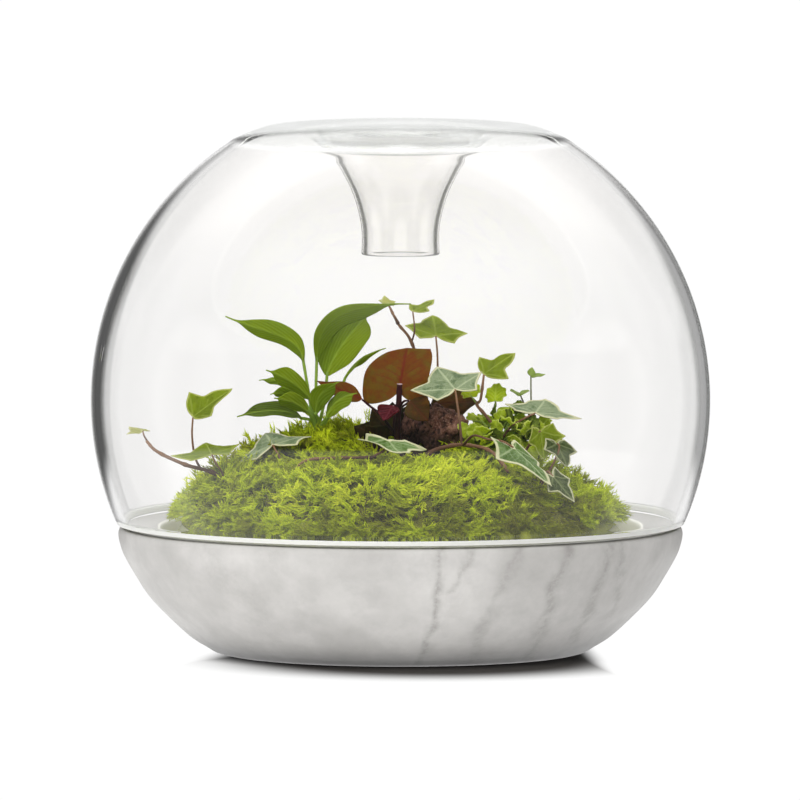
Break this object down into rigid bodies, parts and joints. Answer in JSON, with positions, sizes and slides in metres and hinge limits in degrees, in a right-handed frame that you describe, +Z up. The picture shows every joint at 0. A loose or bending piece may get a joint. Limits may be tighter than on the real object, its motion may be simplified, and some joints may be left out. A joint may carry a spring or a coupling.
{
  "type": "glass plant terrarium",
  "caption": "Round plant terrarium: a clear glass globe with a funnel drawn down from its crest, resting on a marble bowl planted with moss, ivy, a peace lily and small leafy plants.",
  "frame": {"origin": "centre of the marble bowl's flat foot, on the surface that it stands on", "axes": "+Z up along the axis of the bowl and the dome, +X to the right and +Y away from the viewer, seen from the planted front"},
  "size_m": [0.2994, 0.2994, 0.255],
  "materials": {
    "marble": "honed marble, satin",
    "clear_glass": "clear blown glass, polished",
    "soil": "moist dark potting soil, crumbly",
    "moss": "feathery moss, matte",
    "lava_rock": "rough porous lava stone, matte",
    "lily_leaf": "smooth leaf, soft gloss",
    "red_stalk": "dark red stalk, glossy",
    "red_plant_leaf": "olive-brown leaf, satin",
    "ivy_green_leaf": "variegated ivy leaf, satin",
    "ivy_grey_leaf": "grey-green ivy leaf with a cream edge, satin",
    "ivy_dark_leaf": "shaded ivy leaf, satin",
    "ivy_stem": "thin woody stem, matte",
    "bright_leaf": "thin bright leaf, satin",
    "seedling_leaf": "thin young leaf, satin"
  },
  "bodies": {
    "root": {"marble_base": "marble", "glass_dome": "clear_glass", "soil": "soil", "moss_front": "moss", "moss_right": "moss", "moss_back": "moss", "moss_left": "moss", "lava_rock_small": "lava_rock", "lava_rock_large": "lava_rock", "peace_lily": "lily_leaf", "red_plant_stalks": "red_stalk", "ivy_left_young_leaf": "ivy_green_leaf", "ivy_left_upright_leaf": "ivy_green_leaf", "ivy_left_low_leaf": "ivy_green_leaf", "ivy_moss_left_leaf": "ivy_grey_leaf", "ivy_front_wavy_leaf": "ivy_green_leaf", "ivy_back_tip_leaf": "ivy_green_leaf", "ivy_back_upper_leaf": "ivy_green_leaf", "ivy_back_broad_leaf": "ivy_green_leaf", "ivy_right_grey_leaf": "ivy_grey_leaf", "ivy_right_upper_leaf": "ivy_green_leaf", "ivy_right_spread_leaf": "ivy_grey_leaf", "ivy_right_glossy_leaf": "ivy_green_leaf", "ivy_right_drooping_leaf": "ivy_grey_leaf", "ivy_right_shaded_leaf": "ivy_dark_leaf", "ivy_right_hanging_leaf": "ivy_dark_leaf", "red_plant_round_leaf": "red_plant_leaf", "red_plant_folded_leaf": "red_plant_leaf", "red_plant_small_leaf": "red_plant_leaf", "red_plant_arched_leaf": "red_plant_leaf", "ivy_left_stem": "ivy_stem", "ivy_moss_left_stem": "ivy_stem", "ivy_front_stem": "ivy_stem", "ivy_back_stem": "ivy_stem", "ivy_right_runner": "ivy_stem", "ivy_right_stem": "ivy_stem", "ivy_edge_stem": "ivy_stem", "small_leaf_plant": "bright_leaf", "seedling": "seedling_leaf"}
  },
  "joints": []
}
